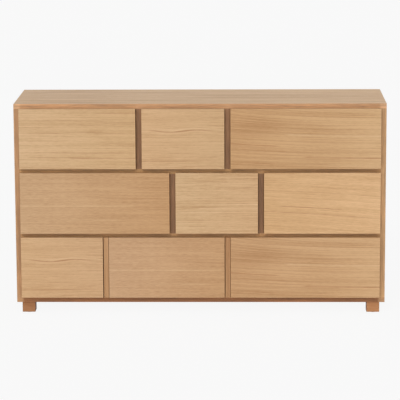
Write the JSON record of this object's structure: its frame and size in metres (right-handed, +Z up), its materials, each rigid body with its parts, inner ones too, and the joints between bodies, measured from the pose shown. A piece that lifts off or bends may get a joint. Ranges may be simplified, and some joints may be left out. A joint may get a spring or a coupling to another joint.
{
  "type": "chest of drawers",
  "caption": "Long low chest of drawers in oak veneer on square feet, with handle-less sliding drawers in staggered rows.",
  "frame": {"origin": "on the floor, under the middle of the chest's length and depth", "axes": "+Z up; +X along the chest to the right of someone who faces it; the drawers open towards -Y"},
  "size_m": [1.6, 0.5, 0.919],
  "materials": {
    "oak_veneer_front": "satin",
    "oak_veneer_case": "satin",
    "oak_veneer_back": "satin",
    "solid_oak": "satin",
    "drawer_box_wood": "satin",
    "drawer_base_board": "matte",
    "beech_runner": "waxed",
    "beech_dowel": "matte",
    "zinc_steel": "zinc plated",
    "felt": "matte"
  },
  "bodies": {
    "case": {"back_left_foot": "solid_oak", "back_panel": "oak_veneer_back", "back_panel_screws": "zinc_steel", "back_right_foot": "solid_oak", "bottom_panel": "oak_veneer_case", "bottom_row_front_strips": "solid_oak", "bottom_row_left_divider": "oak_veneer_case", "bottom_row_right_divider": "oak_veneer_case", "case_dowels": "beech_dowel", "drawer_runners": "beech_runner", "felt_glides": "felt", "foot_bolts": "zinc_steel", "front_left_foot": "solid_oak", "front_right_foot": "solid_oak", "left_side_panel": "oak_veneer_case", "lower_shelf": "oak_veneer_case", "middle_row_left_divider": "oak_veneer_case", "middle_row_right_divider": "oak_veneer_case", "right_side_panel": "oak_veneer_case", "runner_screws": "zinc_steel", "top_panel": "oak_veneer_case", "top_row_left_divider": "oak_veneer_case", "top_row_right_divider": "oak_veneer_case", "upper_shelf": "oak_veneer_case"},
    "top_left_drawer": {"top_left_drawer_base": "drawer_base_board", "top_left_drawer_ends": "drawer_box_wood", "top_left_drawer_front": "oak_veneer_front", "top_left_drawer_sides": "drawer_box_wood"},
    "top_centre_drawer": {"top_centre_drawer_base": "drawer_base_board", "top_centre_drawer_ends": "drawer_box_wood", "top_centre_drawer_front": "oak_veneer_front", "top_centre_drawer_sides": "drawer_box_wood"},
    "top_right_drawer": {"top_right_drawer_base": "drawer_base_board", "top_right_drawer_ends": "drawer_box_wood", "top_right_drawer_front": "oak_veneer_front", "top_right_drawer_sides": "drawer_box_wood"},
    "middle_left_drawer": {"middle_left_drawer_base": "drawer_base_board", "middle_left_drawer_ends": "drawer_box_wood", "middle_left_drawer_front": "oak_veneer_front", "middle_left_drawer_sides": "drawer_box_wood"},
    "middle_centre_drawer": {"middle_centre_drawer_base": "drawer_base_board", "middle_centre_drawer_ends": "drawer_box_wood", "middle_centre_drawer_front": "oak_veneer_front", "middle_centre_drawer_sides": "drawer_box_wood"},
    "middle_right_drawer": {"middle_right_drawer_base": "drawer_base_board", "middle_right_drawer_ends": "drawer_box_wood", "middle_right_drawer_front": "oak_veneer_front", "middle_right_drawer_sides": "drawer_box_wood"},
    "bottom_left_drawer": {"bottom_left_drawer_base": "drawer_base_board", "bottom_left_drawer_ends": "drawer_box_wood", "bottom_left_drawer_front": "oak_veneer_front", "bottom_left_drawer_sides": "drawer_box_wood"},
    "bottom_centre_drawer": {"bottom_centre_drawer_base": "drawer_base_board", "bottom_centre_drawer_ends": "drawer_box_wood", "bottom_centre_drawer_front": "oak_veneer_front", "bottom_centre_drawer_sides": "drawer_box_wood"},
    "bottom_right_drawer": {"bottom_right_drawer_base": "drawer_base_board", "bottom_right_drawer_ends": "drawer_box_wood", "bottom_right_drawer_front": "oak_veneer_front", "bottom_right_drawer_sides": "drawer_box_wood"}
  },
  "joints": [
    {"name": "top_left_drawer_slide", "type": "slide", "parent": "case", "child": "top_left_drawer", "axis": [0, -1, 0], "range_m": [0, 0.33]},
    {"name": "top_centre_drawer_slide", "type": "slide", "parent": "case", "child": "top_centre_drawer", "axis": [0, -1, 0], "range_m": [0, 0.33]},
    {"name": "top_right_drawer_slide", "type": "slide", "parent": "case", "child": "top_right_drawer", "axis": [0, -1, 0], "range_m": [0, 0.33]},
    {"name": "middle_left_drawer_slide", "type": "slide", "parent": "case", "child": "middle_left_drawer", "axis": [0, -1, 0], "range_m": [0, 0.33]},
    {"name": "middle_centre_drawer_slide", "type": "slide", "parent": "case", "child": "middle_centre_drawer", "axis": [0, -1, 0], "range_m": [0, 0.33]},
    {"name": "middle_right_drawer_slide", "type": "slide", "parent": "case", "child": "middle_right_drawer", "axis": [0, -1, 0], "range_m": [0, 0.33]},
    {"name": "bottom_left_drawer_slide", "type": "slide", "parent": "case", "child": "bottom_left_drawer", "axis": [0, -1, 0], "range_m": [0, 0.33]},
    {"name": "bottom_centre_drawer_slide", "type": "slide", "parent": "case", "child": "bottom_centre_drawer", "axis": [0, -1, 0], "range_m": [0, 0.33]},
    {"name": "bottom_right_drawer_slide", "type": "slide", "parent": "case", "child": "bottom_right_drawer", "axis": [0, -1, 0], "range_m": [0, 0.33]}
  ]
}
